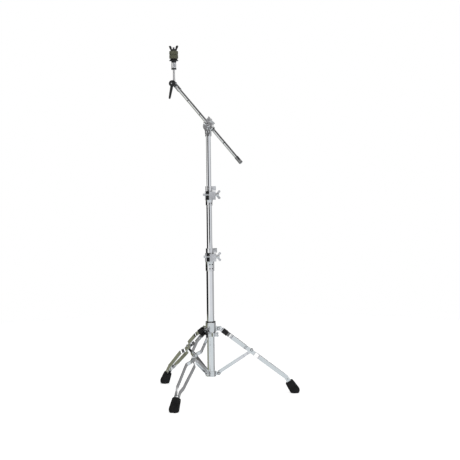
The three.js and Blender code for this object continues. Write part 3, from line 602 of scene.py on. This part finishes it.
def build_lever():
    """A moulded lever: round hub, raised rim, tapered handle with a rounded tip."""
    front, back = -27.0, -8.75
    hub = [(0, front + 1.2), (5.2, front + 1.2), (5.8, front + 0.2), (8.6, front), (10.6, front + 1)]
    hub += [(11.8, front + 3), (12.4, back - 3), (11.8, back - 1), (10.5, back), (0, back)]
    handle = [(0, 2), (5.4, 2), (5.6, 14), (5.1, 29), (4.3, 50)]
    handle += [(4.0, 55.6), (3.3, 58.4), (2, 59.8), (0, 60)]
    down = move(0, (front + back) / 2, 0) @ turn("Y", 12) @ turn("X", 180)
    shape = together(moved(lathe(hub, 64), ALONG_Y), moved(lathe(handle, 40), down))
    add_for("tilt_lever", "tilt_lever_moulded", shape, ROD, PLASTIC, sharp=40)


# ---------------------------------------------------------------- cymbal tilter
def felt_shape(bottom, seed):
    """A pressed felt washer: slightly crowned side, softened edges, uneven matted surface."""
    bore = ROD_R + GAP + 0.3
    half = FELT["height"] / 2
    steps = 14
    profile = [(bore, -half + 0.5)]
    for k in range(6):
        profile.append((bore + 1 + k * (FELT["r"] - 4 - bore) / 5, -half + 0.15))
    for k in range(steps + 1):
        height = (-half + 0.5) + (2 * half - 1) * k / steps
        soft = 1 - abs(height / half) ** 6
        profile.append((FELT["r"] - 1.3 + 1.0 * soft, height))
    profile += [(r, -z) for r, z in reversed(profile[:7])]
    profile.append(profile[0])
    verts, faces = lathe(profile, 120)
    rough = []
    for x, y, z in verts:
        spot = Vector((x, y, z))
        radius = math.hypot(x, y)
        swell = 0.35 * noise.noise(spot * 0.35 + Vector((seed, 0, 0)))
        swell += 0.22 * noise.noise(spot * 1.7 + Vector((0, seed, 0)))
        grown = (radius + swell) / radius if radius > bore + 0.5 else 1
        rough.append((x * grown, y * grown, z + bottom + half))
    return rough, faces


def build_felts():
    lower = FELT["bottom"]
    upper = lower + FELT["height"] + GAP
    for node, bottom, seed in (("felt_lower", lower, 3.0), ("felt_upper", upper, 11.0)):
        piece = add_for(node, node + "_wool", felt_shape(bottom, seed), ROD, WOOL, sharp=60)


def build_rod():
    hub = [(0, -4.7), (7.6, -4.7), (8.3, -4.0), (8.3, 4.0), (7.6, 4.7), (0, 4.7)]
    smooth_top = 84
    shaft = [(0, 0), (4.7, 0), (4.7, 16), (4.3, 17.6), (ROD_R, 18.4)]
    shaft += [(ROD_R, smooth_top), (0, smooth_top)]
    threaded = thread(ROD_R - 0.02, smooth_top - 0.5, ROD_TOP - 0.6, 1.25, 0.55)
    tip = [(0, ROD_TOP - 1.4), (3.5, ROD_TOP - 1.4), (3.2, ROD_TOP - 0.4), (2.6, ROD_TOP), (0, ROD_TOP)]
    shape = together(moved(lathe(hub, 64), ALONG_Y), lathe(shaft, 48), threaded, lathe(tip, 40))
    add_for("cymbal_rod", "cymbal_rod_threaded", shape, ROD, ROD_STEEL, sharp=40)


def build_seat():
    bottom, top, r = SEAT_SLEEVE["bottom"], SEAT_SLEEVE["top"], SEAT_SLEEVE["r"]
    bore = ROD_R + GAP
    ring_top = bottom + 7
    sleeve = [(bore, bottom), (r - 0.8, bottom), (r, bottom + 0.8), (r, top - 2.5), (r - 0.8, top - 1.5)]
    sleeve += [(r - 0.8, top), (bore, top), (bore, bottom)]
    turned = lathe(sleeve, 72)
    add_for("seat_sleeve", "seat_sleeve_turned", turned, ROD, CAST_CHROME, sharp=30, bevel=0.2)
    band = lathe(band_profile(r - 1, r + 0.25, bottom + 1, ring_top), 72)
    add_piece("seat_band", band, ROD, "cymbal_rod", PLASTIC, bevel=0.3)
    # black bars set into the sleeve stand for its slots: painted shade in the slots
    for k in range(6):
        place = ROD @ turn("Z", 60 * k + 10)
        slot = prism(bar_outline(r - 1, r + 0.06, -0.9, 0.9), ring_top + 3, top - 5.5)
        add_piece(f"seat_slot_shade_{k + 1}", slot, place, "cymbal_rod", NYLON, bevel=0.1)

    neck_r, neck_top, rim_r = SEAT["neck_r"], SEAT["neck_top"], SEAT["rim_r"]
    low = top + GAP
    seat = [(bore, low), (neck_r - 0.6, low), (neck_r, low + 0.6), (neck_r, neck_top - 2.4)]
    seat += [(neck_r + 0.8, neck_top - 1.4), (rim_r - 2, neck_top - 0.7), (rim_r - 0.5, neck_top - 0.5)]
    seat += [(rim_r, neck_top), (rim_r, neck_top + 0.7), (rim_r - 0.5, neck_top + 1.2)]
    seat += [(SEAT["top_r"] + 2, SEAT["top"] - 2.2), (SEAT["top_r"], SEAT["top"])]
    seat += [(bore, SEAT["top"]), (bore, low)]
    add_for("cymbal_seat", "cymbal_seat_moulded", lathe(seat, 72), ROD, PLASTIC, sharp=50)


def build_cymbal_tilter():
    build_lever()
    build_rod()
    build_seat()
    build_felts()
    recast("cymbal_wing_nut", PLASTIC, 1.0, segments=4)


# ---------------------------------------------------------------- stage
FACING = -6.47  # degrees the camera's side is turned from -Y
CAMERA_AT = Vector((-0.4186, -4.3808, 0.8868))
CAMERA_PITCH = 3.42
CAMERA_ROLL = -0.60
LENS = 90.61826
LENS_SHIFT = 0.006587
SENSOR = 36.0


def build_camera():
    camera = bpy.data.cameras.new("camera")
    camera.sensor_width = SENSOR
    camera.lens = LENS
    camera.shift_y = LENS_SHIFT
    camera.clip_end = 60
    holder = bpy.data.objects.new("camera", camera)
    look = turn("Z", FACING) @ turn("X", 90 - CAMERA_PITCH) @ turn("Z", CAMERA_ROLL)
    spot = Vector((AXIS.x, AXIS.y, 0)) + CAMERA_AT
    holder.matrix_world = Matrix.Translation(spot) @ look
    bpy.context.scene.collection.objects.link(holder)
    bpy.context.scene.camera = holder


WHITE = (1.0, 1.0, 1.0)
PALE = (0.74, 0.755, 0.79)
MID = (0.42, 0.42, 0.43)
DIM = (0.12, 0.12, 0.12)
SHADE = (0.3, 0.3, 0.305)
BLACK = (0.003, 0.003, 0.003)
OLIVE = (0.24, 0.245, 0.18)
SKY = (0.7, 0.745, 0.77)

# what the chrome mirrors: from the ground up, each ring reaches up to a height (the sine of its elevation)
# and lists tones against the angle round the stand, 0 at the camera and negative to its left
LEFT_CARD = [(-180, WHITE), (-166, WHITE), (-162, BLACK), (-64, BLACK), (-60, WHITE)]
RIGHT_SIDE = [(62, PALE), (80, MID), (110, MID), (124, WHITE)]
GROUND = [(-180, SKY), (-156, SKY), (-148, OLIVE), (-78, OLIVE), (-68, SKY)]
GROUND += [(78, SKY), (84, MID), (112, SHADE), (148, SHADE), (160, SKY)]
LOW = [*LEFT_CARD, (-28, WHITE), (-8, PALE), (62, PALE), (80, MID), (145, MID), (158, WHITE)]
MIDDLE = [*LEFT_CARD, (-22, WHITE), (-18, BLACK), (20, BLACK), (24, PALE), *RIGHT_SIDE]
HIGH = [(-180, BLACK), (-104, BLACK), (-100, WHITE)]
HIGH += [(-62, WHITE), (-58, BLACK), (-10, BLACK), (-6, PALE), *RIGHT_SIDE]
CROWN = [(-180, MID), (-106, MID), (-100, BLACK), (-66, BLACK), (-58, WHITE)]
CROWN += [(-50, MID), (-32, MID), (-28, BLACK), (-6, BLACK), (0, PALE), *RIGHT_SIDE]
OPEN = [(-180, SKY), (-156, SKY), (-148, OLIVE), (-78, OLIVE), (-66, WHITE)]
OPEN += [(-4, WHITE), (0, PALE), *RIGHT_SIDE]
UPPER = [(-180, MID), (-64, MID), (-58, WHITE), (-22, WHITE), (-16, DIM)]
UPPER += [(16, DIM), (22, WHITE), (60, WHITE), (66, MID)]
RINGS = (
    (-0.131, GROUND),
    (-0.07, LOW),
    (-0.033, MIDDLE),
    (0.03, HIGH),
    (0.09, CROWN),
    (0.2, OPEN),
    (0.57, UPPER),
    (0.95, [(-180, DIM), (180, DIM)]),
    (1.0, [(-180, WHITE), (180, WHITE)]),
)
RING_BLUR = 0.004


class Sky:
    """The world's node tree: small helpers that add a node and return its output."""

    def __init__(self, world):
        world.use_nodes = True
        self.nodes = world.node_tree.nodes
        self.links = world.node_tree.links

    def maths(self, operation, *values):
        node = self.nodes.new("ShaderNodeMath")
        node.operation = operation
        for socket, value in zip(node.inputs, values):
            if isinstance(value, (int, float)):
                socket.default_value = value
            else:
                self.links.new(value, socket)
        return node.outputs["Value"]

    def tones(self, around, stops):
        ramp = self.nodes.new("ShaderNodeValToRGB")
        while len(ramp.color_ramp.elements) < len(stops):
            ramp.color_ramp.elements.new(0.5)
        for element, (angle, colour) in zip(ramp.color_ramp.elements, stops):
            element.position = angle / 360 + 0.5
            element.color = (*colour, 1)
        self.links.new(around, ramp.inputs["Fac"])
        return ramp.outputs["Color"]

    def step(self, value, edge, blur):
        node = self.nodes.new("ShaderNodeMapRange")
        node.interpolation_type = "SMOOTHSTEP"
        node.inputs["From Min"].default_value = edge - blur
        node.inputs["From Max"].default_value = edge + blur
        self.links.new(value, node.inputs["Value"])
        return node.outputs["Result"]

    def blend(self, factor, first, second):
        mix = self.nodes.new("ShaderNodeMix")
        mix.data_type = "RGBA"
        self.links.new(factor, mix.inputs["Factor"])
        colours = [socket for socket in mix.inputs if socket.type == "RGBA"]
        for socket, value in zip(colours, (first, second)):
            if isinstance(value, tuple):
                socket.default_value = (*value, 1)
            else:
                self.links.new(value, socket)
        return next(socket for socket in mix.outputs if socket.type == "RGBA")


def build_world():
    world = bpy.data.worlds.new("studio")
    bpy.context.scene.world = world
    sky = Sky(world)
    background = sky.nodes["Background"]

    place = sky.nodes.new("ShaderNodeTexCoord").outputs["Generated"]
    mapping = sky.nodes.new("ShaderNodeMapping")
    mapping.inputs["Rotation"].default_value = (0, 0, math.radians(-FACING))
    sky.links.new(place, mapping.inputs["Vector"])
    split = sky.nodes.new("ShaderNodeSeparateXYZ")
    sky.links.new(mapping.outputs["Vector"], split.inputs["Vector"])
    toward = sky.maths("MULTIPLY", split.outputs["Y"], -1)
    angle = sky.maths("ARCTAN2", split.outputs["X"], toward)
    around = sky.maths("ADD", sky.maths("DIVIDE", angle, 2 * math.pi), 0.5)

    light = sky.tones(around, RINGS[0][1])
    for (edge, _), (_, stops) in zip(RINGS, RINGS[1:]):
        light = sky.blend(sky.step(split.outputs["Z"], edge, RING_BLUR), light, sky.tones(around, stops))
    seen = sky.nodes.new("ShaderNodeLightPath").outputs["Is Camera Ray"]
    sky.links.new(sky.blend(seen, light, WHITE), background.inputs["Color"])
    background.inputs["Strength"].default_value = 1.0


FLOOR_RADIUS = 2.4


def build_floor():
    """A pale floor; the chrome mirrors the studio's rings below the horizon instead of it."""
    floor = bpy.data.meshes.new("floor")
    rim = []
    for k in range(SIDES):
        angle = 2 * math.pi * k / SIDES
        rim.append((AXIS.x + FLOOR_RADIUS * math.cos(angle), AXIS.y + FLOOR_RADIUS * math.sin(angle), 0))
    floor.from_pydata(rim, [], [list(range(SIDES))])
    paint = Paint("floor", (0.8, 0.8, 0.8), 0.9, specular=0.1)
    paint.set("Emission Color", (1, 1, 1, 1))
    ray = paint.add("LightPath")
    glow = paint.add("MapRange")
    glow.inputs["To Max"].default_value = 0.76
    paint.links.new(ray.outputs["Is Camera Ray"], glow.inputs["Value"])
    paint.links.new(glow.outputs["Result"], paint.shader.inputs["Emission Strength"])
    unseen = paint.add("MixShader")
    paint.links.new(ray.outputs["Is Glossy Ray"], unseen.inputs["Fac"])
    paint.links.new(paint.shader.outputs["BSDF"], unseen.inputs[1])
    paint.links.new(paint.add("BsdfTransparent").outputs["BSDF"], unseen.inputs[2])
    paint.links.new(unseen.outputs["Shader"], paint.nodes["Material Output"].inputs["Surface"])
    floor.materials.append(paint.material)
    plane = bpy.data.objects.new("floor", floor)
    bpy.context.scene.collection.objects.link(plane)


def build_light(name, at, size, power, target):
    light = bpy.data.lights.new(name, "AREA")
    light.shape = "RECTANGLE"
    light.size, light.size_y = size
    light.energy = power
    holder = bpy.data.objects.new(name, light)
    spot = Vector((AXIS.x, AXIS.y, 0)) + Vector(at)
    aim = Vector((AXIS.x, AXIS.y, target)) - spot
    holder.matrix_world = Matrix.Translation(spot) @ aim.to_track_quat("-Z", "Y").to_matrix().to_4x4()
    bpy.context.scene.collection.objects.link(holder)


def build_stage():
    bpy.context.scene.view_settings.view_transform = "Standard"
    build_camera()
    build_world()
    build_floor()
    build_light("key", (2.4, -2.6, 2.8), (1.6, 1.6), 12, 0.7)
    build_light("fill", (-3.0, -1.2, 2.4), (1.2, 2.0), 6, 0.7)


build_stage()
build_column()
for number in LEGS:
    build_leg(number)
build_tilter()
build_boom()
build_cymbal_tilter()
